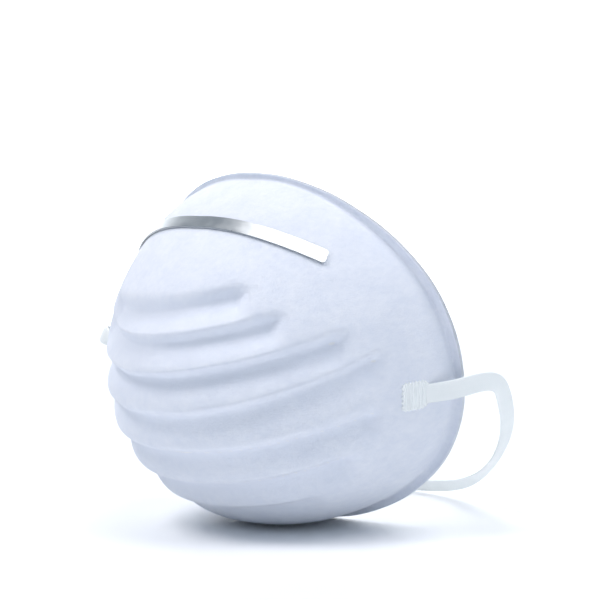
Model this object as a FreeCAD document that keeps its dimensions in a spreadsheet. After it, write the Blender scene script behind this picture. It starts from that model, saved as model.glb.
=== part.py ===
import FreeCAD, Part
import os
from math import cos, exp, hypot, pi, radians, sin, tan

import Sketcher

# A moulded cup dust mask. The origin is in the middle of the rim, where it meets the face. +X is the
# wearer's left, -Y the way the cup bulges, +Z up. Millimetres.
#
# The cup is worked out in a frame of its own, the cup frame, with the same origin: +Y square to the
# rim, towards the face, and +Z up the face. CUP_PLACEMENT then tips it forwards on to its belly.

Vector = FreeCAD.Vector
doc = FreeCAD.newDocument("dust_mask")

# ---------------------------------------------------------------- driving dimensions
DIMENSIONS = {
    # rim outline
    "rim_width": 126,
    "rim_height": 118,
    "rim_bow": 13.1,  # how far the sides of the rim reach back round the cheeks
    "flange_width": 3,
    "outline_power": 2.13,  # 2 is an ellipse, more is squarer
    "outline_power_fall": 0.11,  # less square towards the nose
    "outline_narrowing": 0.07,  # narrower towards the nose
    # cup profile
    "cup_depth": 63.5,
    "tip_height": 10.8,  # the foremost point, above the middle of the rim
    "flank_power": 1.14,
    "flank_power_rise": 0.08,
    "crown_power": 1.13,
    "crown_power_rise": 0.14,
    "crown_power_mid": 0.13,
    "tip_rounding": 0.16,
    "cup_tip": 15.2,  # degrees that the mask leans forwards on to its belly
    # layers of the cup wall, outside first
    "cover_thickness": 0.3,
    "filter_thickness": 0.5,
    "shell_thickness": 0.7,
    # aluminium nose clip and the hot-melt under it
    "clip_length": 88,
    "clip_width": 5,
    "clip_thickness": 0.6,
    "clip_height": 20.3,  # where the clip's plane meets the plane of the rim
    "clip_slope": 1.16,  # how steeply that plane falls towards the face
    "melt_thickness": 0.2,
    "melt_width": 3.2,
    "melt_margin": 4,  # how far the hot-melt stops short of each end of the clip
    # flattened, welded ends of the head strap
    "tab_length": 10.4,
    "tab_width": 9,
    "tab_thickness": 0.8,
    "tab_corner": 1.2,
    "tab_setback": 5,  # middle of the weld, in front of the rim plane
    "tab_drop": 10.7,  # and below the middle of the rim
    "tab_slant": 7.6,  # degrees that the strap leaves below square to the rim
    "weld_rib_width": 0.6,
    "weld_rib_depth": 0.25,
    "weld_rib_pitch": 1.3,
    "weld_rib_count": 7,
    # free part of the strap
    "strap_width": 6,
    "strap_clearance": 0.3,
}

sheet = doc.addObject("Spreadsheet::Sheet", "dimensions")
for row, (alias, value) in enumerate(DIMENSIONS.items(), start=1):
    sheet.set(f"A{row}", alias)
    sheet.set(f"B{row}", str(value))
    sheet.setAlias(f"B{row}", alias)
doc.recompute()


def dim(alias):
    """A driving dimension, as the sheet holds it."""
    return float(getattr(sheet, alias))


# ---------------------------------------------------------------- shape of the cup
ROWS = 22  # control rows from the tip to the rim
COLUMNS = 64  # control columns round the cup
TINY = 1e-3


def rim_outline(around):
    """x and z of the flange's outer edge. around is 0 at the nose and pi at the chin."""
    across, up = sin(around), cos(around)
    power = dim("outline_power") - dim("outline_power_fall") * up
    side = abs(across / (dim("rim_width") / 2)) ** power
    top = abs(up / (dim("rim_height") / 2)) ** power
    reach = (side + top) ** (-1 / power)
    return reach * across * (1 - dim("outline_narrowing") * up), reach * up


def wall_foot(around):
    """x, y and z of the line where the cup wall meets the flange."""
    x, z = rim_outline(around)
    share = 1 - dim("flange_width") / hypot(x, z)
    x, z = x * share, z * share
    return x, dim("rim_bow") * (x / (dim("rim_width") / 2)) ** 2, z


def cup_point(along, around):
    """A point of the cup's outside. along is 0 at the tip and 1 at the rim."""
    foot_x, foot_y, foot_z = wall_foot(around)
    up = cos(around)
    flank = dim("flank_power") + dim("flank_power_rise") * up
    flank = 1 + (flank - 1) * (1 - exp(-((along / dim("tip_rounding")) ** 2)))
    crown = dim("crown_power") + dim("crown_power_rise") * up - dim("crown_power_mid") * up * up
    spread = sin(along * pi / 2) ** flank
    bulge = max(cos(along * pi / 2), 0) ** crown
    height = dim("tip_height") * (1 - spread) + foot_z * spread
    return Vector(foot_x * spread, foot_y * spread**3 - dim("cup_depth") * bulge, height)


def cup_normal(along, around):
    """Unit vector out of the cup at that point."""
    along = min(max(along, 0.03), 1)
    if along > 1 - TINY:
        before, after = wall_foot(around - TINY), wall_foot(around + TINY)
        out = Vector(before[2] - after[2], 0, after[0] - before[0])
    else:
        lengthways = cup_point(along + TINY, around) - cup_point(along - TINY, around)
        sideways = cup_point(along, around + TINY) - cup_point(along, around - TINY)
        out = sideways.cross(lengthways)
    out.normalize()
    return out


def cup_row(along, depth):
    """Control points round the cup, depth below its outside. The last row reaches the flange."""
    if along == 0:
        return [cup_point(0, 0) + Vector(0, depth, 0)] * COLUMNS
    row = []
    for column in range(COLUMNS):
        around = 2 * pi * column / COLUMNS
        lift = Vector(0, depth * sin(along * pi / 2) ** 8, 0)
        row.append(cup_point(along, around) - cup_normal(along, around) * depth + lift)
    return row


def flange_row(depth):
    """Control points round the flange's outer edge, depth behind its front."""
    row = []
    for column in range(COLUMNS):
        around = 2 * pi * column / COLUMNS
        x, z = rim_outline(around)
        row.append(Vector(x, wall_foot(around)[1] + depth, z))
    return row


def ring_face(rows, degree):
    """A face from rows of control points, each row closed round the cup."""
    spans = len(rows) - degree
    ends = [degree + 1] + [1] * (spans - 1) + [degree + 1]
    surface = Part.BSplineSurface()
    surface.buildFromPolesMultsKnots(
        rows,
        ends,
        [1] * (COLUMNS + 1),
        [float(knot) for knot in range(spans + 1)],
        [float(knot) for knot in range(COLUMNS + 1)],
        False,
        True,
        degree,
        3,
    )
    return surface.toShape()


def closed_solid(faces):
    """One solid from faces that share their edges."""
    shell = Part.makeShell(faces)
    shell.sewShape()
    solid = Part.makeSolid(shell)
    if solid.Volume < 0:
        solid.reverse()
    return solid


def cup_layer(outer, inner):
    """A layer of the cup wall and its flange, from depth outer to depth inner."""
    outside = [cup_row(row / ROWS, outer) for row in range(ROWS + 1)]
    inside = [cup_row(row / ROWS, inner) for row in range(ROWS + 1)]
    front, back = flange_row(outer), flange_row(inner)
    return closed_solid([
        ring_face(outside, 3),
        ring_face([outside[-1], front], 1),
        ring_face([front, back], 1),
        ring_face([back, inside[-1]], 1),
        ring_face(inside, 3),
    ])


# ---------------------------------------------------------------- layers of the cup wall
wall_thickness = dim("cover_thickness") + dim("filter_thickness") + dim("shell_thickness")
turn = FreeCAD.Rotation(Vector(1, 0, 0), dim("cup_tip"))
CUP_PLACEMENT = FreeCAD.Placement(Vector(0, 0, 0), turn)
sub_parts = []


def add_feature(label, shape, placement):
    """A sub-part whose shape is worked out above."""
    feature = doc.addObject("Part::Feature", label)
    feature.Label = label
    feature.Shape = shape
    feature.Placement = placement
    sub_parts.append(feature)
    return feature


filter_depth = dim("cover_thickness")
shell_depth = filter_depth + dim("filter_thickness")
add_feature("outer_cover", cup_layer(0, filter_depth), CUP_PLACEMENT)
add_feature("filter_layer", cup_layer(filter_depth, shell_depth), CUP_PLACEMENT)
add_feature("inner_shell", cup_layer(shell_depth, wall_thickness), CUP_PLACEMENT)


# ---------------------------------------------------------------- nose clip and hot-melt
CLIP_STATIONS = 15


def clip_station(around):
    """along and the point where the clip's plane crosses the cup wall at this angle."""
    low, high = 0.2, 1.0
    while high - low > 1e-9:
        middle = (low + high) / 2
        point = cup_point(middle, around)
        if point.z + dim("clip_slope") * point.y < dim("clip_height"):
            low = middle
        else:
            high = middle
    return low, cup_point(low, around)


def clip_path(length):
    """Angles round the cup of stations spread evenly over a length of the clip's middle line."""
    step = radians(0.25)
    around, reach, last = 0, 0, clip_station(0)[1]
    travelled = [(0, 0)]
    while reach < length / 2:
        around += step
        point = clip_station(around)[1]
        reach += point.distanceToPoint(last)
        last = point
        travelled.append((reach, around))
    angles = []
    for station in range(CLIP_STATIONS):
        target = (station / (CLIP_STATIONS - 1) - 0.5) * length
        below = max(pair for pair in travelled if pair[0] <= abs(target))
        above = min(pair for pair in travelled if pair[0] >= abs(target))
        share = (abs(target) - below[0]) / max(above[0] - below[0], TINY)
        angle = below[1] + share * (above[1] - below[1])
        angles.append(angle if target >= 0 else -angle)
    return angles


def strip_on_cup(length, width, bottom, top):
    """A strip bent to the cup along the clip's line, between two heights above the wall."""
    corners = [[], [], [], []]
    for around in clip_path(length):
        along, point = clip_station(around)
        out = cup_normal(along, around)
        ahead = clip_station(around + TINY)[1] - clip_station(around - TINY)[1]
        across = out.cross(ahead)
        across.normalize()
        half = across * (width / 2)
        corners[0].append(point - half + out * bottom)
        corners[1].append(point + half + out * bottom)
        corners[2].append(point + half + out * top)
        corners[3].append(point - half + out * top)
    spans = CLIP_STATIONS - 3
    faces = []
    for side in range(4):
        surface = Part.BSplineSurface()
        surface.buildFromPolesMultsKnots(
            [corners[side], corners[(side + 1) % 4]],
            [2, 2],
            [4] + [1] * (spans - 1) + [4],
            [0.0, 1.0],
            [float(knot) for knot in range(spans + 1)],
            False,
            False,
            1,
            3,
        )
        faces.append(surface.toShape())
    for end in (0, -1):
        ring = [corners[side][end] for side in (0, 1, 2, 3, 0)]
        faces.append(Part.Face(Part.makePolygon(ring)))
    return closed_solid(faces)


# The flat strip bridges the cup's crossways curve, so the hot-melt starts a hair above the wall.
melt_gap = 0.02
clip_gap = melt_gap + dim("melt_thickness")
melt_length = dim("clip_length") - 2 * dim("melt_margin")
melt = strip_on_cup(melt_length, dim("melt_width"), melt_gap, clip_gap)
clip = strip_on_cup(dim("clip_length"), dim("clip_width"), clip_gap, clip_gap + dim("clip_thickness"))
add_feature("clip_hot_melt", melt, CUP_PLACEMENT)
add_feature("nose_clip", clip, CUP_PLACEMENT)


# ---------------------------------------------------------------- welded ends of the strap
def weld_spot():
    """along and around of the middle of the left weld."""
    best = None
    along, around, reach = 0.8, pi / 2, 0.2
    while reach > 1e-6:
        for row in range(-5, 6):
            for column in range(-5, 6):
                a, b = min(along + reach * row / 5, 1), around + reach * column / 5
                p = cup_point(a, b)
                miss = hypot(p.y + dim("tab_setback"), p.z + dim("tab_drop"))
                if best is None or miss < best[0]:
                    best = (miss, a, b)
        along, around = best[1], best[2]
        reach *= 0.5
    return along, around


weld_along, weld_around = weld_spot()
weld_point = cup_point(weld_along, weld_around)
weld_out = cup_normal(weld_along, weld_around)
slant = radians(dim("tab_slant"))
leaving = Vector(0, cos(slant), -sin(slant))
leaving = leaving - weld_out * leaving.dot(weld_out)
leaving.normalize()
weld_sink = 0.12  # the weld melts this far into the cover


def mirrored(vector):
    return Vector(-vector.x, vector.y, vector.z)


def tab_placement(side):
    """Tab frame to mask: +X along the strap, +Z out of the wall."""
    point, out, ahead = weld_point, weld_out, leaving
    if side < 0:
        point, out, ahead = mirrored(point), mirrored(out), mirrored(ahead)
    turn = FreeCAD.Rotation(ahead, out.cross(ahead), out, "ZXY")
    return CUP_PLACEMENT.multiply(FreeCAD.Placement(point - out * weld_sink, turn))


def origin_plane(body, role):
    return next(plane for plane in body.Origin.OriginFeatures if plane.Role == role)


def add_rectangle(sketch, length, width):
    """A rectangle centred on the sketch's origin, its sides bound to two expressions."""
    x, y = 1.0, 1.0
    points = [Vector(-x, -y, 0), Vector(x, -y, 0), Vector(x, y, 0), Vector(-x, y, 0)]
    first = sketch.GeometryCount
    for side in range(4):
        sketch.addGeometry(Part.LineSegment(points[side], points[(side + 1) % 4]), False)
    for side in range(4):
        near, far = first + side, first + (side + 1) % 4
        sketch.addConstraint(Sketcher.Constraint("Coincident", near, 2, far, 1))
        flat = "Horizontal" if side % 2 == 0 else "Vertical"
        sketch.addConstraint(Sketcher.Constraint(flat, near))
    sketch.addConstraint(Sketcher.Constraint("Symmetric", first, 1, first + 1, 2, -1, 1))
    wide = sketch.addConstraint(Sketcher.Constraint("Distance", first, 2 * x))
    tall = sketch.addConstraint(Sketcher.Constraint("Distance", first + 1, 2 * y))
    sketch.setExpression(f"Constraints[{wide}]", length)
    sketch.setExpression(f"Constraints[{tall}]", width)


def add_tab(label, side):
    """A strap end, melted flat against the wall, with the welding horn's ribs pressed across it."""
    body = doc.addObject("PartDesign::Body", label)
    body.Label = label
    outline = body.newObject("Sketcher::SketchObject", label + "_outline")
    outline.AttachmentSupport = (origin_plane(body, "XY_Plane"), [""])
    outline.MapMode = "FlatFace"
    add_rectangle(outline, "dimensions.tab_length", "dimensions.tab_width")
    pad = body.newObject("PartDesign::Pad", label + "_pad")
    pad.Profile = outline
    pad.setExpression("Length", "dimensions.tab_thickness")
    doc.recompute()
    uprights = [
        f"Edge{number}"
        for number, edge in enumerate(pad.Shape.Edges, start=1)
        if abs(edge.tangentAt(edge.FirstParameter).z) > 0.9
    ]
    corners = body.newObject("PartDesign::Fillet", label + "_corners")
    corners.Base = (pad, uprights)
    corners.setExpression("Radius", "dimensions.tab_corner")
    rib = body.newObject("Sketcher::SketchObject", label + "_rib")
    rib.AttachmentSupport = (origin_plane(body, "XY_Plane"), [""])
    rib.MapMode = "FlatFace"
    rib.setExpression("AttachmentOffset.Base.z", "dimensions.tab_thickness")
    rib.setExpression(
        "AttachmentOffset.Base.x", "-(dimensions.weld_rib_count - 1) / 2 * dimensions.weld_rib_pitch"
    )
    add_rectangle(rib, "dimensions.weld_rib_width", "dimensions.tab_width * 2")
    groove = body.newObject("PartDesign::Pocket", label + "_groove")
    groove.Profile = rib
    groove.setExpression("Length", "dimensions.weld_rib_depth")
    doc.recompute()
    ribs = body.newObject("PartDesign::LinearPattern", label + "_ribs")
    ribs.Originals = [groove]
    ribs.Direction = (origin_plane(body, "YZ_Plane"), [""])
    ribs.setExpression(
        "Length", "(dimensions.weld_rib_count - 1) * dimensions.weld_rib_pitch"
    )
    ribs.setExpression("Occurrences", "dimensions.weld_rib_count")
    body.Tip = ribs
    doc.recompute()
    body.Placement = tab_placement(side)
    if not body.Shape.Volume < pad.Shape.Volume:
        raise RuntimeError(f"{label}: the weld ribs cut nothing")
    sub_parts.append(body)


add_tab("strap_end_left", 1)
add_tab("strap_end_right", -1)

# ---------------------------------------------------------------- free part of the strap
# The strap flexes where it leaves its welds, so both its ends start on one line across the mask.
strap_radius = dim("strap_width") / 2
tab_back = weld_point + leaving * (dim("tab_length") / 2)
exit_point = CUP_PLACEMENT.multVec(tab_back)
wall_slope = abs(leaving.x / leaving.y)
exit_reach = exit_point.x + dim("tab_thickness") + strap_radius * wall_slope + dim("strap_clearance")
exit_left = Vector(exit_reach, exit_point.y, exit_point.z)
exit_right = mirrored(exit_left)

# Chosen by hand: round the left cheek, down behind the chin and up to the fold outside the right
# cheek.
STRAP_ROUTE = [
    Vector(66.3, 3.0, -11.1),
    Vector(71.0, 8.8, -7.6),
    Vector(71.2, 19.0, -7.5),
    Vector(67.2, 30.0, -11.9),
    Vector(63.7, 38.0, -20.4),
    Vector(58.3, 45.0, -28.4),
    Vector(50.3, 52.0, -36.2),
    Vector(40.4, 59.0, -42.6),
    Vector(31.0, 65.0, -47.2),
    Vector(21.5, 70.0, -49.9),
    Vector(10.0, 74.0, -51.7),
    Vector(-3.0, 76.0, -53.0),
    Vector(-17.0, 75.5, -53.5),
    Vector(-31.0, 71.0, -51.9),
    Vector(-46.0, 61.0, -45.9),
    Vector(-59.0, 49.0, -35.9),
    Vector(-70.0, 35.0, -23.4),
    Vector(-79.0, 21.0, -11.9),
    Vector(-83.5, 10.0, -3.9),
    Vector(-84.3, 0.5, 0.6),
    Vector(-78.0, -5.0, 0.1),
    Vector(-71.0, -1.5, -5.4),
    Vector(-65.0, 3.0, -11.1),
]


def rounded_path(points):
    """Straight runs joined by tangent arcs, each as large as its two runs allow."""
    edges, radii, start = [], [], points[0]
    for before, corner, after in zip(points, points[1:], points[2:]):
        back, ahead = before - corner, after - corner
        shorter = min(back.Length, ahead.Length)
        half_turn = (pi - back.getAngle(ahead)) / 2
        radius = 0.45 * shorter / tan(half_turn)
        radii.append(radius)
        back.normalize()
        ahead.normalize()
        bisector = back + ahead
        bisector.normalize()
        setback = radius * tan(half_turn)
        middle = corner + bisector * (radius / cos(half_turn) - radius)
        arc_start, arc_end = corner + back * setback, corner + ahead * setback
        edges.append(Part.LineSegment(start, arc_start).toShape())
        edges.append(Part.Arc(arc_start, middle, arc_end).toShape())
        start = arc_end
    edges.append(Part.LineSegment(start, points[-1]).toShape())
    return Part.Wire(edges), radii


strap_points = [exit_left] + STRAP_ROUTE + [exit_right]
strap_wire, strap_radii = rounded_path(strap_points)
spine = doc.addObject("Part::Feature", "strap_line")
spine.Shape = strap_wire
section = doc.addObject("Part::Circle", "strap_section")
section.setExpression("Radius", "dimensions.strap_width / 2")
section.Placement = FreeCAD.Placement(
    exit_left, FreeCAD.Rotation(Vector(0, 0, 1), strap_points[1] - strap_points[0])
)
strap = doc.addObject("Part::Sweep", "head_strap")
strap.Label = "head_strap"
strap.Sections = [section]
strap.Spine = (spine, [f"Edge{number + 1}" for number in range(len(strap_wire.Edges))])
strap.Solid = True
strap.Frenet = False
sub_parts.append(strap)

# ---------------------------------------------------------------- check and write
doc.recompute()
for item in doc.Objects:
    if "Invalid" in item.State or "Error" in item.State:
        raise RuntimeError(f"{item.Label} failed: {item.State}")
os.makedirs("parts", exist_ok=True)
for part in sub_parts:
    if part.Shape.isNull() or not part.Shape.isValid() or part.Shape.Volume <= 0:
        raise RuntimeError(f"{part.Label} is not a valid solid")
    part.Shape.exportStep(os.path.join("parts", part.Label + ".step"))
    print(f"{part.Label}: {part.Shape.Volume:.1f} mm3, {len(part.Shape.Solids)} solid")

runs = [b.distanceToPoint(a) for a, b in zip(strap_points, strap_points[1:])]
print("strap runs:", " ".join(f"{run:.1f}" for run in runs))
print("strap radii:", " ".join(f"{radius:.1f}" for radius in strap_radii))
print(f"strap length {strap_wire.Length:.1f}, as a tube {pi * strap_radius**2 * strap_wire.Length:.0f} mm3")
print(f"strap pivot {exit_left}, cup placement {CUP_PLACEMENT}")
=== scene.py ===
import math

import bpy
import numpy as np
from mathutils import Matrix, Vector
from mathutils.bvhtree import BVHTree


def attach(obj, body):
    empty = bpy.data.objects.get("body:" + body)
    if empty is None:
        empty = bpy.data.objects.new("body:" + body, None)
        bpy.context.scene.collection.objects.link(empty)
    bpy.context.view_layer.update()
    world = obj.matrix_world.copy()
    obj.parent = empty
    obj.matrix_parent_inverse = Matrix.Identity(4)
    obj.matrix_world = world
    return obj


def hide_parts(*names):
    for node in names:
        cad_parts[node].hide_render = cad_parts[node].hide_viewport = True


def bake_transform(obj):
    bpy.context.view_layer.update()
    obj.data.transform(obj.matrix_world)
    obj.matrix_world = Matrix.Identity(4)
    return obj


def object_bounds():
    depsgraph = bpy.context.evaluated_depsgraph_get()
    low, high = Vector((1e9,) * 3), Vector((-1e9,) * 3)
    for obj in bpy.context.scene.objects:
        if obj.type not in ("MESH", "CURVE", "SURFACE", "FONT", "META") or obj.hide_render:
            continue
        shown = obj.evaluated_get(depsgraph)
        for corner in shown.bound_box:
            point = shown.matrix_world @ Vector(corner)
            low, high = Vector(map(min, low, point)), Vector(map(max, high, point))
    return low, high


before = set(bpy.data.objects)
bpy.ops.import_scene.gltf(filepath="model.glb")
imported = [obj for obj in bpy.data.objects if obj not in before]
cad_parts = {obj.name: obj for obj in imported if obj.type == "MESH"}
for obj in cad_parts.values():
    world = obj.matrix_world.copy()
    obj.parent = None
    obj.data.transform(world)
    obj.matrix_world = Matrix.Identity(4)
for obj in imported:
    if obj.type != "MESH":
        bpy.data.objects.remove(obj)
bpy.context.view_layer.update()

# A moulded cup dust mask. Metres. The origin is in the middle of the rim, +X is the wearer's left,
# -Y the way the cup bulges and +Z up. The cup is worked out square to its rim and then tipped.
MM = 0.001
CUP_TIP = math.radians(15.2)
TINY = 1e-3

# ------------------------------------------------------------------ shape of the cup
RIM_WIDTH, RIM_HEIGHT, RIM_BOW = 126 * MM, 118 * MM, 13.1 * MM
FLANGE_WIDTH = 3 * MM
OUTLINE_POWER, OUTLINE_POWER_FALL, OUTLINE_NARROWING = 2.13, 0.11, 0.07
CUP_DEPTH, TIP_HEIGHT = 63.5 * MM, 10.8 * MM
FLANK_POWER, FLANK_POWER_RISE = 1.14, 0.08
CROWN_POWER, CROWN_POWER_RISE, CROWN_POWER_MID = 1.13, 0.14, 0.13
TIP_ROUNDING = 0.16
# The moulded cup is a little fuller beside the nose than the design surface.
SHOULDER, SHOULDER_AROUND, SHOULDER_SPAN = 1.4 * MM, 0.34, 0.46
FLANGE_TUCK = 0.50  # share of the flange's width that the wall covers there
COVER, FILTER, SHELL = 0.3 * MM, 0.5 * MM, 0.7 * MM
WALL = COVER + FILTER + SHELL


def tipped(points):
    """Points of the cup's own frame, placed in the row frame."""
    turn = np.array(Matrix.Rotation(CUP_TIP, 3, "X"))
    return np.asarray(points) @ turn.T


def rim_outline(around):
    """x and z of the flange's outer edge. around is 0 at the nose and pi at the chin."""
    across, up = np.sin(around), np.cos(around)
    power = OUTLINE_POWER - OUTLINE_POWER_FALL * up
    side = np.abs(across / (RIM_WIDTH / 2)) ** power
    top = np.abs(up / (RIM_HEIGHT / 2)) ** power
    reach = (side + top) ** (-1 / power)
    return reach * across * (1 - OUTLINE_NARROWING * up), reach * up


def shoulder_share(around):
    """1 beside the nose on either side, 0 away from it."""
    turned = np.abs((around + np.pi) % (2 * np.pi) - np.pi)
    return np.exp(-(((turned - SHOULDER_AROUND) / SHOULDER_SPAN) ** 2))


def wall_foot(around):
    """The line where the cup wall meets the flange."""
    x, z = rim_outline(around)
    share = 1 - FLANGE_WIDTH * (1 - FLANGE_TUCK * shoulder_share(around)) / np.hypot(x, z)
    x, z = x * share, z * share
    return np.stack([x, RIM_BOW * (x / (RIM_WIDTH / 2)) ** 2, z], -1)


def cup_point(along, around):
    """The cup's outside before its grooves. along is 0 at the tip and 1 at the rim."""
    along, around = np.broadcast_arrays(along, around)
    foot, up = wall_foot(around), np.cos(around)
    flank = FLANK_POWER + FLANK_POWER_RISE * up
    flank = 1 + (flank - 1) * (1 - np.exp(-((along / TIP_ROUNDING) ** 2)))
    crown = CROWN_POWER + CROWN_POWER_RISE * up - CROWN_POWER_MID * up * up
    spread = np.sin(along * np.pi / 2) ** flank
    bulge = np.maximum(np.cos(along * np.pi / 2), 0) ** crown
    shoulder = shoulder_share(around) * SHOULDER * np.sin(np.clip(along, 0, 1) ** 5 * np.pi) ** 2
    return np.stack([
        foot[..., 0] * spread,
        foot[..., 1] * spread**3 - CUP_DEPTH * bulge - shoulder,
        TIP_HEIGHT * (1 - spread) + foot[..., 2] * spread,
    ], -1)


def cup_normal(along, around):
    """Unit vector out of the cup."""
    along, around = np.broadcast_arrays(np.clip(along, 0.03, 1 - 2 * TINY), around)
    lengthways = cup_point(along + TINY, around) - cup_point(along - TINY, around)
    sideways = cup_point(along, around + TINY) - cup_point(along, around - TINY)
    out = np.cross(sideways, lengthways)
    return out / np.linalg.norm(out, axis=-1, keepdims=True)


# Stiffening grooves across the front: height, climb towards the face, slant towards the
# left, half length round the cup, depth.
GROOVES = [
    (29.6 * MM, -0.05, 0.08, 29 * MM, 3.1 * MM),
    (22.8 * MM, 0.04, 0.01, 38 * MM, 3.2 * MM),
    (12.0 * MM, 0.04, 0.01, 54 * MM, 3.3 * MM),
    (1.6 * MM, 0.13, 0.0, 63 * MM, 2.4 * MM),
    (-13.8 * MM, 0.08, 0.0, 60 * MM, 2.5 * MM),
    (-26.2 * MM, 0.14, 0.0, 51 * MM, 2.9 * MM),
    (-38.5 * MM, 0.12, 0.0, 38 * MM, 1.5 * MM),
]
UPPER_WALL, LOWER_WALL, GROOVE_END = 2.2 * MM, 5.4 * MM, 3.6 * MM


def groove_depth(points):
    """How far each point is pressed in: a steep upper wall over a gentle lower one."""
    x, y, z = points[..., 0], points[..., 1], points[..., 2]
    reach = np.hypot(x, (y + CUP_DEPTH) * 0.75)
    pressed = np.zeros(x.shape)
    for height, climb, slant, half_length, depth in GROOVES:
        off = z - height - climb * (y + 0.03) - slant * x
        wide = np.where(off > 0, UPPER_WALL, LOWER_WALL)
        past = np.maximum(reach - half_length, 0) / GROOVE_END
        one = depth * np.exp(-(np.hypot(off / wide, past) ** 2.2))
        pressed = np.maximum(pressed, one)
    return pressed * np.clip((-y - 6 * MM) / (9 * MM), 0, 1)


def new_piece(name, points, faces, finish, uv=None, marks=None, body="cup"):
    """A smooth mesh piece that rides on a body."""
    mesh = bpy.data.meshes.new(name)
    mesh.from_pydata(np.asarray(points, float).tolist(), [], faces)
    mesh.validate()
    mesh.polygons.foreach_set("use_smooth", [True] * len(mesh.polygons))
    corner = np.zeros(len(mesh.loops), int)
    mesh.loops.foreach_get("vertex_index", corner)
    if uv is not None:
        layer = mesh.uv_layers.new(name="lie")
        layer.data.foreach_set("uv", np.asarray(uv, np.float32)[corner].ravel())
    for mark, values in (marks or {}).items():
        layer = mesh.attributes.new(mark, "FLOAT", "POINT")
        layer.data.foreach_set("value", np.asarray(values, np.float32).ravel())
    mesh.materials.append(finish)
    piece = bpy.data.objects.new(name, mesh)
    bpy.context.scene.collection.objects.link(piece)
    if body:
        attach(piece, body)
    return piece


def rings_closed(rows, columns):
    """Faces of a closed skin: a point, rows of rings, a point."""
    faces = []
    ring = np.arange(columns)
    after = (ring + 1) % columns
    for a, b in zip(ring, after):
        faces.append((0, 1 + int(b), 1 + int(a)))
    for row in range(rows - 1):
        low, high = 1 + row * columns, 1 + (row + 1) * columns
        faces += [
            (low + int(a), low + int(b), high + int(b), high + int(a)) for a, b in zip(ring, after)
        ]
    low, end = 1 + (rows - 1) * columns, 1 + rows * columns
    for a, b in zip(ring, after):
        faces.append((low + int(a), low + int(b), end))
    return faces


FULL_PRESS = 2.5 * MM  # a groove this deep is glazed as hard as the web ever is
FLANGE_RINGS = 10
FOOT_START, FOOT_ROWS = 0.95, 0.14  # where the closer rings by the foot begin, and their share
FOOT_SOFTENING = 14  # passes that round the corner between wall and flange


def cup_side(depth, rows, columns, edge_inset):
    """Rings of one side of a layer, tip to flange edge, with how hard each point was pressed."""
    around = np.linspace(0, 2 * np.pi, columns, endpoint=False)
    split = int(rows * (1 - FOOT_ROWS))
    along = np.concatenate([
        np.linspace(0.0, FOOT_START, split, endpoint=False),
        np.linspace(FOOT_START, 1, rows - split),
    ])
    grid_along, grid_around = np.meshgrid(along, around, indexing="ij")
    base = cup_point(grid_along, grid_around)
    out = cup_normal(grid_along, grid_around)
    pressed = groove_depth(base)
    lift = depth * np.sin(grid_along * np.pi / 2) ** 8
    wall = base - out * (depth + pressed)[..., None]
    wall[..., 1] += lift
    foot = wall[-1]
    edge_x, edge_z = rim_outline(around)
    trim = 1 - (edge_inset + rim_wobble(around)) / np.hypot(edge_x, edge_z)
    edge = np.stack([edge_x * trim, wall_foot(around)[:, 1] + depth, edge_z * trim], -1)
    share = np.linspace(0, 1, FLANGE_RINGS)[1:, None, None]
    flange = foot + (edge - foot) * share
    seal = np.exp(-(((share - 0.55) / 0.22) ** 4))
    flange[..., 1] += (seal * 0.12 * MM)[..., 0]
    flange[..., 1] -= ((share**2) * 0.25 * MM)[..., 0] * (1 + np.sin(5 * around + 1.0) * 0.4)
    rings = np.concatenate([wall, flange])
    first = split - 2
    for _ in range(FOOT_SOFTENING):
        middle = rings[first + 1:-2]
        rings[first + 1:-2] = middle * 0.5 + (rings[first:-3] + rings[first + 2:-1]) * 0.25
    marks = np.concatenate([
        pressed / FULL_PRESS, np.broadcast_to(0.1 + 0.3 * seal[..., 0], flange.shape[:2])
    ])
    return rings, marks


def rim_wobble(around):
    """The die-cut edge isn't quite true."""
    return MM * (0.16 * np.sin(3 * around + 0.7) + 0.10 * np.sin(7 * around + 2.1)
                 + 0.05 * np.sin(19 * around + 0.3))


def cup_layer(name, outer, inner, dense, finish, edge_inset=0.0):
    """A whole layer: cup wall and flange, both sides and the edge between them."""
    front_rows, back_rows, columns = dense
    front, front_marks = cup_side(outer, front_rows, columns, edge_inset)
    back, back_marks = cup_side(inner, back_rows, columns, edge_inset)
    middle = (front[-1:] + back[-1:]) / 2
    outward = middle - middle.mean(axis=1, keepdims=True)
    outward[..., 1] = 0
    outward /= np.linalg.norm(outward, axis=-1, keepdims=True)
    bulge = middle + outward * (inner - outer) * 0.45
    rings = np.concatenate([front[1:], bulge, back[:0:-1]])
    marks = np.concatenate([front_marks[1:], front_marks[-1:], back_marks[:0:-1]])
    points = np.concatenate([front[0, :1], rings.reshape(-1, 3), back[0, :1]])
    marks = np.concatenate([[0.0], marks.ravel(), [0.0]])
    around = np.linspace(0, 2 * np.pi, columns, endpoint=False)
    steps = np.linalg.norm(np.diff(np.concatenate([front[:1], rings]), axis=0), axis=-1)
    run = steps.cumsum(axis=0).mean(axis=1)
    middle_run = run[len(front) - 2]
    run = np.where(run > middle_run, 2 * middle_run - run, run)[:, None]
    lie = np.stack([run * np.sin(around), run * np.cos(around)], -1).reshape(-1, 2)
    lie = np.concatenate([[[0, 0]], lie, [[0, 0]]])
    faces = rings_closed(len(rings), columns)
    return new_piece(name, tipped(points), faces, finish, lie, {"pressed": marks})


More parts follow.
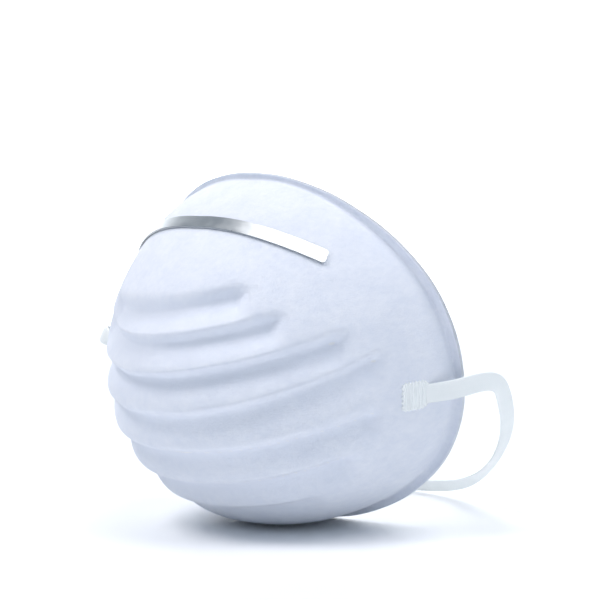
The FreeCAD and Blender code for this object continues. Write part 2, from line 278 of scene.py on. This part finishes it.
# ------------------------------------------------------------------ finishes
def node_group(name, inputs, outputs):
    """An empty shader node group with named float inputs and outputs, and a vector called Lie."""
    group = bpy.data.node_groups.new(name, "ShaderNodeTree")
    group.interface.new_socket(name="Lie", in_out="INPUT", socket_type="NodeSocketVector")
    for label, value in inputs.items():
        socket = group.interface.new_socket(
            name=label, in_out="INPUT", socket_type="NodeSocketFloat")
        socket.default_value = value
    for label in outputs:
        group.interface.new_socket(name=label, in_out="OUTPUT", socket_type="NodeSocketFloat")
    return group, group.nodes.new("NodeGroupInput"), group.nodes.new("NodeGroupOutput")


class Wires:
    """Short ways of adding nodes to one tree."""

    def __init__(self, tree):
        self.tree = tree

    def add(self, kind, **settings):
        node = self.tree.nodes.new(kind)
        for key, value in settings.items():
            if key.startswith("in_"):
                node.inputs[int(key[3:])].default_value = value
            else:
                setattr(node, key, value)
        return node

    def link(self, source, target):
        self.tree.links.new(source, target)

    def math(self, operation, first, second=None, clamp=False):
        node = self.add("ShaderNodeMath", operation=operation, use_clamp=clamp)
        for slot, value in enumerate((first, second)):
            if isinstance(value, (int, float)):
                node.inputs[slot].default_value = value
            elif value is not None:
                self.link(value, node.inputs[slot])
        return node.outputs[0]

    def stretched(self, lie, scale, turn=0.0):
        node = self.add("ShaderNodeMapping")
        node.inputs["Scale"].default_value = scale
        node.inputs["Rotation"].default_value = (0, 0, turn)
        self.link(lie, node.inputs["Vector"])
        return node.outputs[0]

    def noise(self, lie, scale, detail=2.0, rough=0.5, distortion=0.0):
        node = self.add("ShaderNodeTexNoise")
        node.inputs["Scale"].default_value = scale
        node.inputs["Detail"].default_value = detail
        node.inputs["Roughness"].default_value = rough
        node.inputs["Distortion"].default_value = distortion
        self.link(lie, node.inputs["Vector"])
        return node.outputs["Fac"]


# The ways that fibres lie: turn from level, and how finely they are spaced across and along.
FIBRE_WAYS = [(0.05, 5200, 620), (0.75, 4300, 700), (-0.6, 4700, 560), (1.5, 4100, 900)]


def make_web_group():
    """Short bonded fibres, lying mostly one way, over cloudy patches and a faint bonding grid."""
    group, given, made = node_group(
        "bonded_web", {"Fibre": 1.0, "Cloud": 1.0, "Bonding": 1.0}, ["Tone", "Height"]
    )
    wires = Wires(group)
    lie = given.outputs["Lie"]
    strands = None
    for turn, across, length in FIBRE_WAYS:
        one = wires.noise(wires.stretched(lie, (length, across, 1), turn), 1.0, 1.5, 0.45, 0.35)
        one = wires.math("SUBTRACT", one, 0.5)
        one = wires.math("ABSOLUTE", one)
        one = wires.math("MULTIPLY_ADD", one, -7.0)
        one.node.inputs[2].default_value = 1.0
        one = wires.math("MAXIMUM", one, 0.0)
        strands = one if strands is None else wires.math("MAXIMUM", strands, one)
    cloud = wires.noise(lie, 420.0, 4.0, 0.6, 0.4)
    patch = wires.noise(lie, 95.0, 3.0, 0.5, 0.2)
    cell = wires.add("ShaderNodeTexVoronoi", distance="EUCLIDEAN", feature="F1")
    cell.inputs["Scale"].default_value = 1250.0
    cell.inputs["Randomness"].default_value = 0.35
    wires.link(lie, cell.inputs["Vector"])
    dot = wires.math("SUBTRACT", 0.42, cell.outputs["Distance"], clamp=True)
    fibre_share = wires.math("MULTIPLY", strands, given.outputs["Fibre"])
    bond_share = wires.math("MULTIPLY", dot, given.outputs["Bonding"])
    height = wires.math("SUBTRACT", fibre_share, bond_share)
    height = wires.math("ADD", height, wires.math("MULTIPLY", cloud, 0.8))
    wires.link(height, made.inputs["Height"])
    tone = wires.math("MULTIPLY", wires.math("SUBTRACT", cloud, 0.5), given.outputs["Cloud"])
    tone = wires.math("ADD", tone, wires.math("MULTIPLY", wires.math("SUBTRACT", patch, 0.5), 0.9))
    tone = wires.math("ADD", tone, wires.math("MULTIPLY", fibre_share, 0.22))
    tone = wires.math("SUBTRACT", tone, wires.math("MULTIPLY", bond_share, 0.5))
    wires.link(wires.math("ADD", tone, 0.45, clamp=True), made.inputs["Tone"])
    return group


def make_streak_group():
    """Fine lines along a strip, with soft blotches: brushing, drawing lines, moulding marks."""
    group, given, made = node_group("long_streaks", {"Fineness": 1.0}, ["Line", "Blotch"])
    wires = Wires(group)
    lie = wires.add("ShaderNodeVectorMath", operation="SCALE")
    wires.link(given.outputs["Lie"], lie.inputs[0])
    wires.link(given.outputs["Fineness"], lie.inputs["Scale"])
    lie = lie.outputs[0]
    fine = wires.noise(wires.stretched(lie, (90, 9000, 1)), 1.0, 3.0, 0.65)
    broad = wires.noise(wires.stretched(lie, (45, 2600, 1)), 1.0, 2.0, 0.5)
    line = wires.math("ADD", wires.math("MULTIPLY", fine, 0.6), wires.math("MULTIPLY", broad, 0.4))
    wires.link(line, made.inputs["Line"])
    wires.link(wires.noise(lie, 330.0, 3.0, 0.55, 0.6), made.inputs["Blotch"])
    return group


WEB_GROUP = make_web_group()
STREAK_GROUP = make_streak_group()


def new_finish(name, **sockets):
    """A material with its Principled shader's own sockets set."""
    finish = bpy.data.materials.new(name)
    finish.use_nodes = True
    shader = finish.node_tree.nodes["Principled BSDF"]
    for label, value in sockets.items():
        shader.inputs[label.replace("_", " ")].default_value = value
    return finish, Wires(finish.node_tree), shader


def lie_of(wires):
    node = wires.add("ShaderNodeUVMap", uv_map="lie")
    return node.outputs["UV"]


def placed_group(wires, group, lie, **values):
    node = wires.add("ShaderNodeGroup", node_tree=group)
    for label, value in values.items():
        node.inputs[label].default_value = value
    wires.link(lie, node.inputs["Lie"])
    return node


def two_tone(wires, factor, dark, light):
    node = wires.add("ShaderNodeMix", data_type="RGBA")
    node.inputs[6].default_value = (*dark, 1)
    node.inputs[7].default_value = (*light, 1)
    wires.link(factor, node.inputs[0])
    return node.outputs[2]


def bumped(wires, shader, height, strength, distance):
    node = wires.add("ShaderNodeBump")
    node.inputs["Strength"].default_value = strength
    node.inputs["Distance"].default_value = distance
    wires.link(height, node.inputs["Height"])
    wires.link(node.outputs["Normal"], shader.inputs["Normal"])


def web_finish(name, dark, light, pressed_colour, rough, glaze, fibre, cloud, bonding, bump,
               **sockets):
    """Nonwoven web. Where the tool pressed it, it is glazed: a little darker and smoother."""
    finish, wires, shader = new_finish(name, **sockets)
    web = placed_group(wires, WEB_GROUP, lie_of(wires), Fibre=fibre, Cloud=cloud, Bonding=bonding)
    colour = two_tone(wires, web.outputs["Tone"], dark, light)
    pressed = wires.add("ShaderNodeAttribute", attribute_name="pressed")
    share = wires.math("MULTIPLY", pressed.outputs["Fac"], 0.55, clamp=True)
    glazed = wires.add("ShaderNodeMix", data_type="RGBA")
    glazed.inputs[7].default_value = (*pressed_colour, 1)
    wires.link(share, glazed.inputs[0])
    wires.link(colour, glazed.inputs[6])
    wires.link(glazed.outputs[2], shader.inputs["Base Color"])
    drop = wires.math("MULTIPLY", share, -glaze)
    roughness = wires.math("ADD", drop, rough)
    roughness = wires.math("ADD", roughness, wires.math("MULTIPLY", web.outputs["Tone"], 0.06))
    wires.link(roughness, shader.inputs["Roughness"])
    bumped(wires, shader, web.outputs["Height"], bump, 0.12 * MM)
    return finish


COVER_WEB = web_finish(
    "cover_web", (0.72, 0.77, 0.88), (0.87, 0.90, 0.965), (0.78, 0.825, 0.925),
    0.80, 0.25, 0.9, 0.9, 0.55, 0.8, Sheen_Weight=0.18, Sheen_Roughness=0.5,
)
FILTER_WEB = web_finish(
    "filter_web", (0.80, 0.83, 0.88), (0.90, 0.92, 0.95), (0.84, 0.86, 0.90),
    0.9, 0.1, 1.2, 1.0, 0.0, 0.8, Sheen_Weight=0.2,
)
SHELL_FELT = web_finish(
    "moulded_shell", (0.75, 0.78, 0.84), (0.88, 0.90, 0.94), (0.78, 0.81, 0.86),
    0.72, 0.3, 1.4, 0.9, 0.15, 0.8, Sheen_Weight=0.12,
)


def make_clip_metal():
    finish, wires, shader = new_finish(
        "brushed_clip", Metallic=1.0, Anisotropic=0.55
    )
    streaks = placed_group(wires, STREAK_GROUP, lie_of(wires), Fineness=1.0)
    wires.link(two_tone(wires, streaks.outputs["Line"], (0.44, 0.47, 0.48), (0.66, 0.68, 0.69)),
               shader.inputs["Base Color"])
    rough = wires.math("MULTIPLY_ADD", streaks.outputs["Blotch"], 0.22)
    rough.node.inputs[2].default_value = 0.16
    rough = wires.math("ADD", rough, wires.math("MULTIPLY", streaks.outputs["Line"], 0.10))
    wires.link(rough, shader.inputs["Roughness"])
    bumped(wires, shader, streaks.outputs["Line"], 0.25, 0.03 * MM)
    return finish


def soft_plastic(name, dark, light, rough, bump, fineness, **sockets):
    """Elastic, hot-melt and welds: smooth soft plastic, lined along its length and cloudy."""
    finish, wires, shader = new_finish(name, **sockets)
    streaks = placed_group(wires, STREAK_GROUP, lie_of(wires), Fineness=fineness)
    mixed = wires.math("ADD", wires.math("MULTIPLY", streaks.outputs["Blotch"], 0.6),
                       wires.math("MULTIPLY", streaks.outputs["Line"], 0.4))
    wires.link(two_tone(wires, mixed, dark, light), shader.inputs["Base Color"])
    roughness = wires.math("MULTIPLY_ADD", streaks.outputs["Blotch"], 0.2)
    roughness.node.inputs[2].default_value = rough
    wires.link(roughness, shader.inputs["Roughness"])
    bumped(wires, shader, mixed, bump, 0.05 * MM)
    return finish


CLIP_METAL = make_clip_metal()
HOT_MELT = soft_plastic(
    "hot_melt", (0.70, 0.68, 0.60), (0.88, 0.87, 0.80), 0.22, 0.4, 2.0,
    Subsurface_Weight=0.3, Subsurface_Radius=(1, 1, 1), Subsurface_Scale=0.001,
)
ELASTIC = soft_plastic(
    "elastic_band", (0.77, 0.81, 0.81), (0.92, 0.94, 0.93), 0.34, 0.5, 0.5,
    Subsurface_Weight=0.15, Subsurface_Radius=(1, 1, 1), Subsurface_Scale=0.001,
)
WELDED = soft_plastic(
    "welded_elastic", (0.76, 0.81, 0.82), (0.94, 0.955, 0.95), 0.28, 0.5, 1.2,
    Subsurface_Weight=0.2, Subsurface_Radius=(1, 1, 1), Subsurface_Scale=0.001,
)

# ------------------------------------------------------------------ cup wall
cover = cup_layer("cup_cover_web", 0, COVER, (150, 70, 360), COVER_WEB)
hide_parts("outer_cover")
web = cup_layer("cup_filter_web", COVER, COVER + FILTER, (50, 50, 180), FILTER_WEB,
                edge_inset=0.35 * MM)
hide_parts("filter_layer")
shell = cup_layer("cup_moulded_shell", COVER + FILTER, WALL, (60, 110, 300), SHELL_FELT,
                  edge_inset=0.1 * MM)
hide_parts("inner_shell")

# ------------------------------------------------------------------ nose clip and hot-melt
CLIP_LENGTH, CLIP_WIDTH, CLIP_THICKNESS = 88 * MM, 5 * MM, 0.6 * MM
CLIP_HEIGHT, CLIP_SLOPE, CLIP_SHIFT = 19.2 * MM, 1.145, 1.2 * MM
CLIP_CORNER = 1.1 * MM
STRIP_ROWS = 170
STRIP_EDGE = math.radians(38)  # edges sharper than this stay crisp
MELT_LENGTH, MELT_WIDTH, MELT_TOP, MELT_GAP = 80 * MM, 3.2 * MM, 0.22 * MM, 0.02 * MM


def clip_line(around):
    """along of the points where the clip's plane crosses the cup wall."""
    low, high = np.full(around.shape, 0.2), np.ones(around.shape)
    for _ in range(40):
        middle = (low + high) / 2
        point = cup_point(middle, around)
        under = point[..., 2] + CLIP_SLOPE * point[..., 1] < CLIP_HEIGHT
        low, high = np.where(under, middle, low), np.where(under, high, middle)
    return low


def clip_frames(length, stations):
    """Points, outward and crossways vectors spread evenly over a length of the clip's line."""
    sweep = np.linspace(-1.4, 1.4, 1401)
    points = cup_point(clip_line(sweep), sweep)
    run = np.concatenate([[0], np.linalg.norm(np.diff(points, axis=0), axis=1).cumsum()])
    run -= np.interp(0, sweep, run)
    around = np.interp((stations - 0.5) * length + CLIP_SHIFT, run, sweep)
    along = clip_line(around)
    ahead = cup_point(clip_line(around + TINY), around + TINY) - cup_point(
        clip_line(around - TINY), around - TINY)
    out = cup_normal(along, around)
    across = np.cross(out, ahead)
    return cup_point(along, around), out, across / np.linalg.norm(across, axis=-1, keepdims=True)


def capped_tube(rings):
    """Points and faces of a tube of rings with both ends closed."""
    count, sides = rings.shape[:2]
    points = rings.reshape(-1, 3)
    faces = [
        (row * sides + side, row * sides + (side + 1) % sides,
         (row + 1) * sides + (side + 1) % sides, (row + 1) * sides + side)
        for row in range(count - 1) for side in range(sides)
    ]
    faces.append(tuple(range(sides))[::-1])
    faces.append(tuple((count - 1) * sides + side for side in range(sides)))
    return points, faces


def strip_on_cup(name, length, bottom, top, half_width, finish, bevel):
    """A bent strip on the cup: half_width gives its half width at each station."""
    share = np.linspace(0, 1, STRIP_ROWS)
    share = 0.5 - 0.5 * np.cos(share * np.pi) * (1 - 0.35 * np.sin(share * np.pi) ** 2)
    base, out, across = clip_frames(length, share)
    half = half_width(share)
    flat = np.array([-0.66, -0.33, 0.0, 0.33, 0.66])
    section = [(-1, bottom + bevel, 0), (-1, top - bevel, 0), (-1, top, bevel)]
    section += [(f, top, 0) for f in flat]
    section += [(1, top, -bevel), (1, top - bevel, 0), (1, bottom + bevel, 0), (1, bottom, -bevel),
                (0, bottom, 0), (-1, bottom, bevel)]
    rings = []
    for row in range(STRIP_ROWS):
        rings.append([
            base[row] + across[row] * (side * half[row] + shift) + out[row] * height
            for side, height, shift in section
        ])
    points, faces = capped_tube(np.array(rings)[:, ::-1])
    run = (share - 0.5) * length
    lie = [(run[row], side * half[row] + height) for row in range(STRIP_ROWS)
           for side, height, _ in section[::-1]]
    piece = new_piece(name, tipped(points), faces, finish, lie)
    piece.data.set_sharp_from_angle(angle=STRIP_EDGE)
    return piece


def clip_half_width(share):
    end = np.minimum(share, 1 - share) * CLIP_LENGTH
    inside = np.clip(CLIP_CORNER - end, 0, CLIP_CORNER)
    return CLIP_WIDTH / 2 - CLIP_CORNER + np.sqrt(np.maximum(CLIP_CORNER**2 - inside**2, 0))


def melt_half_width(share):
    end = np.minimum(share, 1 - share) * MELT_LENGTH
    round_end = np.sqrt(np.clip(end / (MELT_WIDTH / 2), 0.01, 1))
    ooze = 1 + 0.16 * np.sin(share * 61 + 0.5) + 0.1 * np.sin(share * 143)
    return MELT_WIDTH / 2 * round_end * ooze


clip = strip_on_cup("nose_clip_strip", CLIP_LENGTH, MELT_TOP, MELT_TOP + CLIP_THICKNESS,
                    clip_half_width, CLIP_METAL, 0.12 * MM)
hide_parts("nose_clip")
melt = strip_on_cup("nose_clip_hot_melt", MELT_LENGTH, MELT_GAP, MELT_TOP,
                    melt_half_width, HOT_MELT, 0.05 * MM)
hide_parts("clip_hot_melt")

# ------------------------------------------------------------------ welded strap ends
TAB_LENGTH, TAB_WIDTH, TAB_THICKNESS = 10.4 * MM, 9 * MM, 0.8 * MM
TAB_SETBACK, TAB_DROP, TAB_SLANT = 5 * MM, 10.7 * MM, math.radians(7.6)
RIB_PITCH, RIB_DEPTH = 1.3 * MM, 0.3 * MM
TAB_ROWS, TAB_COLUMNS = 105, 57


def weld_place():
    """Point, outward and leaving directions of the left weld, in the cup's own frame."""
    along, around, reach = 0.8, np.pi / 2, 0.2
    offsets = np.linspace(-1, 1, 11)
    for _ in range(22):
        a, b = np.meshgrid(np.minimum(along + reach * offsets, 1), around + reach * offsets)
        point = cup_point(a, b)
        miss = np.hypot(point[..., 1] + TAB_SETBACK, point[..., 2] + TAB_DROP)
        best = np.unravel_index(miss.argmin(), miss.shape)
        along, around, reach = a[best], b[best], reach * 0.5
    out = cup_normal(along, around)
    leaving = np.array([0, math.cos(TAB_SLANT), -math.sin(TAB_SLANT)])
    leaving -= out * (leaving @ out)
    return cup_point(along, around), out, leaving / np.linalg.norm(leaving)


WELD_POINT, WELD_OUT, WELD_LEAVING = (tipped(v) for v in weld_place())
COVER_TREE = BVHTree.FromPolygons([v.co for v in cover.data.vertices],
                                  [tuple(p.vertices) for p in cover.data.polygons])


def mirrored(vectors, side):
    return np.asarray(vectors) * np.array([side, 1, 1])


def weld_tab(name, side):
    """The elastic's end melted flat on the wall, ribbed by the horn, its edges squeezed out."""
    rows, columns = TAB_ROWS, TAB_COLUMNS
    u = np.linspace(-1, 1, rows)[:, None] * np.ones((1, columns))
    v = np.linspace(-1, 1, columns)[None, :] * np.ones((rows, 1))
    run = u * TAB_LENGTH / 2
    wave = 0.5 + 0.5 * np.cos(2 * np.pi * run / RIB_PITCH)
    corner = np.clip((np.abs(u) - 0.80) / 0.20, 0, 1)
    half = TAB_WIDTH / 2 * (1 - 0.16 * corner**2) + (wave - 0.5) * 0.42 * MM
    half *= np.where(u > 0, 1 - 0.22 * np.clip((u - 0.55) / 0.45, 0, 1), 1)
    cross = v * half
    run = run - 0.45 * MM * (0.5 + 0.5 * np.cos(2 * np.pi * cross / (1.5 * MM))) * np.where(
        u < -0.85, (-u - 0.85) / 0.15, 0)
    shoulder = np.minimum(1, (1 - np.abs(v)) / 0.16) * np.minimum(1, (1 - np.abs(u)) / 0.10)
    shoulder = np.sqrt(1 - (1 - np.clip(shoulder, 0, 1)) ** 2)
    height = TAB_THICKNESS * (0.86 * shoulder)
    height -= RIB_DEPTH * (1 - wave) * shoulder * np.where(np.abs(u) < 0.90, 1, 0.4)
    height += 0.05 * MM * np.sin(run * 2100 + cross * 900) * shoulder
    crosswise = np.cross(WELD_OUT, WELD_LEAVING)
    top = np.zeros((rows, columns, 3))
    bottom = np.zeros((rows, columns, 3))
    for row in range(rows):
        for column in range(columns):
            start = WELD_POINT + WELD_LEAVING * run[row, column] + crosswise * cross[row, column]
            hit = COVER_TREE.ray_cast(Vector(start + WELD_OUT * 0.01), Vector(-WELD_OUT))[0]
            wall = np.array(hit)
            top[row, column] = wall + WELD_OUT * (height[row, column] - 0.02 * MM)
            bottom[row, column] = wall - WELD_OUT * 0.12 * MM
    points = np.concatenate([top.reshape(-1, 3), bottom.reshape(-1, 3)])
    index = np.arange(rows * columns).reshape(rows, columns)
    faces = []
    for row in range(rows - 1):
        for column in range(columns - 1):
            a, b, c, d = (int(index[row, column]), int(index[row, column + 1]),
                          int(index[row + 1, column + 1]), int(index[row + 1, column]))
            faces += [(a, b, c, d), tuple(k + rows * columns for k in (d, c, b, a))]
    edge = np.concatenate([index[0, :-1], index[:-1, -1], index[-1, :0:-1], index[:0:-1, 0]])
    for a, b in zip(edge, np.roll(edge, -1)):
        faces.append((int(b), int(a), int(a) + rows * columns, int(b) + rows * columns))
    points = mirrored(points, side)
    if side > 0:
        faces = [face[::-1] for face in faces]
    lie = np.stack([run, cross], -1).reshape(-1, 2)
    return new_piece(name, points, faces, WELDED, np.concatenate([lie, lie]))


for name, side in (("strap_end_left", 1), ("strap_end_right", -1)):
    tab = weld_tab("weld_" + name, side)
    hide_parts(name)

# ------------------------------------------------------------------ head strap
STRAP_WIDTH, STRAP_THICKNESS, STRAP_LENGTH = 6 * MM, 0.9 * MM, 0.2995
BAND_END_EDGE = math.radians(70)
# How far along the weld the band begins, begins to bend and comes clear, and its height there.
BAND_START, BEND_START, BAND_CLEAR = 3.8 * MM, 5.4 * MM, 7.6 * MM
START_RISE, CLEAR_RISE = 0.15 * MM, 0.75 * MM
ROOT_LENGTH = 8.5 * MM  # how much of the band at each end bends between weld and loop
BAND_STATIONS, BAND_SIDES, TURN_SOFTENING = 620, 28, 41
# The strap's route, in millimetres: out from the left weld, down and round behind the chin, up to
# the fold outside the right cheek.
STRAP_ROUTE = [
    (64.6, 9.6, -10.0), (68.6, 16.4, -7.9), (70.2, 22.5, -8.2), (67.2, 30.0, -11.9),
    (63.7, 38.0, -20.4), (58.3, 45.0, -28.4), (50.3, 52.0, -36.2), (40.4, 59.0, -42.6),
    (31.0, 65.0, -47.2), (21.5, 70.0, -50.9), (10.0, 74.0, -53.3), (-3.0, 76.0, -54.5),
    (-17.0, 75.5, -54.8), (-31.0, 71.0, -53.4), (-46.0, 61.0, -45.9), (-59.0, 49.0, -35.9),
    (-70.0, 35.0, -23.4), (-79.0, 21.0, -11.9), (-83.5, 10.0, -3.9), (-84.3, 0.5, 0.6),
    (-78.0, -5.0, 0.1), (-71.0, -1.5, -5.4), (-65.0, 5.0, -10.0),
]
# Which way the band's outer side faces, by share of its length: out from the cheek, then down and
# under as the loop turns back, and out again at the other cheek.
STRAP_FACES = [
    (0.00, WELD_OUT), (0.04, (0.82, -0.56, 0.15)), (0.08, (0.98, -0.05, -0.10)),
    (0.12, (0.87, -0.05, -0.48)), (0.18, (0.82, 0.05, -0.57)), (0.24, (0.66, 0.13, -0.74)),
    (0.29, (0.42, -0.05, -0.90)), (0.33, (0.15, -0.40, -0.90)), (0.38, (-0.05, -0.68, -0.73)),
    (0.46, (0.03, -0.79, -0.61)), (0.56, (0.12, -0.55, -0.83)), (0.64, (0.20, -0.10, -0.97)),
    (0.72, (0.55, -0.30, -0.78)), (0.84, (0.85, -0.10, -0.50)), (0.92, (0.75, 0.45, -0.30)),
    (1.00, -mirrored(WELD_OUT, -1)),
]


def strap_line():
    """Points down the middle of the strap, from weld to weld, off its NURBS line."""
    start = WELD_POINT + WELD_LEAVING * BAND_START + WELD_OUT * START_RISE
    lead = WELD_POINT + WELD_LEAVING * BAND_CLEAR + WELD_OUT * CLEAR_RISE
    route = [start, lead] + [np.array(point) * MM for point in STRAP_ROUTE]
    route += [mirrored(lead, -1), mirrored(start, -1)]
    curve = bpy.data.curves.new("strap_line", "CURVE")
    curve.dimensions = "3D"
    curve.resolution_u = 14
    spline = curve.splines.new("NURBS")
    spline.points.add(len(route) - 1)
    for point, place in zip(spline.points, route):
        point.co = (*place, 1)
    spline.order_u = 3
    spline.use_endpoint_u = True
    bare = bpy.data.objects.new("strap_line", curve)
    mesh = bpy.data.meshes.new_from_object(bare)
    line = np.array([v.co for v in mesh.vertices])
    bpy.data.meshes.remove(mesh)
    bpy.data.objects.remove(bare)
    bpy.data.curves.remove(curve)
    run = np.concatenate([[0], np.linalg.norm(np.diff(line, axis=0), axis=1).cumsum()])
    even = np.linspace(0, run[-1], BAND_STATIONS)
    return np.stack([np.interp(even, run, line[:, k]) for k in range(3)], -1), even / run[-1]


def band_rings(line, share):
    """Rings of a flat band with rounded edges, its broad side turned as STRAP_FACES says."""
    tangent = np.gradient(line, axis=0)
    tangent /= np.linalg.norm(tangent, axis=1, keepdims=True)
    known = np.array([at for at, _ in STRAP_FACES])
    facing = np.array([np.asarray(face, float) for _, face in STRAP_FACES])
    facing = np.stack([np.interp(share, known, facing[:, k]) for k in range(3)], -1)
    kernel = np.hanning(TURN_SOFTENING)
    kernel /= kernel.sum()
    ends = TURN_SOFTENING // 2
    padded = np.pad(facing, ((ends, ends), (0, 0)), mode="edge")
    facing = np.stack([np.convolve(padded[:, k], kernel, "valid") for k in range(3)], -1)
    facing -= tangent * (facing * tangent).sum(1, keepdims=True)
    facing /= np.linalg.norm(facing, axis=1, keepdims=True)
    across = np.cross(facing, tangent)
    curl = 0.35 * MM * np.sin(share * 23 + 0.6) * np.sin(share * np.pi) ** 0.5
    angle = np.linspace(0, 2 * np.pi, BAND_SIDES, endpoint=False)
    wide = np.sign(np.cos(angle)) * np.abs(np.cos(angle)) ** 0.45 * STRAP_WIDTH / 2
    thick = np.sign(np.sin(angle)) * np.abs(np.sin(angle)) ** 0.7 * STRAP_THICKNESS / 2
    bow = (wide / (STRAP_WIDTH / 2)) ** 2
    rings = (line[:, None] + across[:, None] * wide[None, :, None]
             + facing[:, None] * (thick[None, :] + curl[:, None] * (bow - 0.4)[None, :])[..., None])
    run = share * STRAP_LENGTH
    round_it = angle / np.pi * STRAP_WIDTH
    lie = np.stack(np.broadcast_arrays(run[:, None], round_it[None, :]), -1)
    return rings, lie


line, share = strap_line()
rings, lie = band_rings(line, share)
root = int(np.argmax(share * STRAP_LENGTH > ROOT_LENGTH))


def band_piece(name, part, body):
    points, faces = capped_tube(rings[part])
    piece = new_piece(name, points, faces, ELASTIC, lie[part].reshape(-1, 2),
                      body=body)
    piece.data.set_sharp_from_angle(angle=BAND_END_EDGE)
    return piece


strap = band_piece("head_strap_band", slice(root, len(line) - root), "strap")
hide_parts("head_strap")
for name, part, side in (("strap_root_left", slice(0, root + 1), 1),
                         ("strap_root_right", slice(len(line) - root - 1, len(line)), -1)):
    tail = band_piece(name, part, None)
    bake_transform(tail)

# ------------------------------------------------------------------ floor, light and camera
AZIMUTH, ELEVATION, DISTANCE = math.radians(41.33), math.radians(5.0), 0.700
FLOOR_BACK, FLOOR_CURVE, FLOOR_HALF_WIDTH = 1.6, 0.9, 3.0


def plain_stage():
    """A pale floor that curves up behind."""
    profile = [(-2.2, 0.0), (FLOOR_BACK, 0.0)]
    for lean in np.linspace(0.1, np.pi / 2, 14):
        profile.append((FLOOR_BACK + FLOOR_CURVE * math.sin(lean),
                        FLOOR_CURVE * (1 - math.cos(lean))))
    profile.append((FLOOR_BACK + FLOOR_CURVE, 3.0))
    turn = Matrix.Rotation(AZIMUTH, 3, "Z")
    table_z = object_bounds()[0].z
    points, faces = [], []
    for y, z in profile:
        for x in (-FLOOR_HALF_WIDTH, FLOOR_HALF_WIDTH):
            points.append(turn @ Vector((x, y, z)) + Vector((0, 0, table_z)))
    for row in range(len(profile) - 1):
        a = 2 * row
        faces.append((a, a + 1, a + 3, a + 2))
    mesh = bpy.data.meshes.new("floor")
    mesh.from_pydata(points, [], faces)
    mesh.polygons.foreach_set("use_smooth", [True] * len(mesh.polygons))
    finish, _, shader = new_finish("pale_floor", Roughness=0.7)
    shader.inputs["Base Color"].default_value = (0.85, 0.865, 0.88, 1)
    mesh.materials.append(finish)
    floor = bpy.data.objects.new("floor", mesh)
    bpy.context.scene.collection.objects.link(floor)


def soft_light(name, place, aim, size, power, colour):
    lamp = bpy.data.lights.new(name, "AREA")
    lamp.shape = "RECTANGLE"
    lamp.size, lamp.size_y = size
    lamp.energy = power
    lamp.color = colour
    holder = bpy.data.objects.new(name, lamp)
    holder.location = place
    holder.rotation_euler = (Vector(aim) - Vector(place)).to_track_quat("-Z", "Y").to_euler()
    bpy.context.scene.collection.objects.link(holder)


plain_stage()
MIDDLE = (0, 0, 0)
soft_light("key", (-0.35, -0.65, 1.05), MIDDLE, (0.45, 0.45), 8.3, (1.0, 0.962, 0.958))
soft_light("overhead", (0.42, 0.10, 1.22), MIDDLE, (0.9, 0.9), 10.3, (0.995, 0.975, 1.0))
soft_light("right_card", (1.0, -0.35, 0.45), MIDDLE, (0.5, 0.9), 1.4, (0.93, 0.96, 1.0))
soft_light("backdrop_light", (-0.9, 1.0, 1.1), (-1.7, 1.95, 0.35), (1.8, 0.5), 95.0, (1, 1, 1))

world = bpy.data.worlds.new("studio")
bpy.context.scene.world = world
world.use_nodes = True
world.node_tree.nodes["Background"].inputs["Color"].default_value = (0.69, 0.83, 1.0, 1)
world.node_tree.nodes["Background"].inputs["Strength"].default_value = 0.34

VIEW = Vector((-math.sin(AZIMUTH) * math.cos(ELEVATION), math.cos(AZIMUTH) * math.cos(ELEVATION),
               -math.sin(ELEVATION)))
RIGHT = Vector((math.cos(AZIMUTH), math.sin(AZIMUTH), 0))
UP = RIGHT.cross(VIEW)
camera_data = bpy.data.cameras.new("camera")
camera_data.lens = 128.5
camera = bpy.data.objects.new("camera", camera_data)
camera.location = -VIEW * DISTANCE
aim = RIGHT * 0.00621 + UP * 0.0154
camera.rotation_euler = (aim - camera.location).to_track_quat("-Z", "Y").to_euler()
bpy.context.scene.collection.objects.link(camera)
bpy.context.scene.camera = camera
bpy.context.scene.view_settings.view_transform = "Standard"
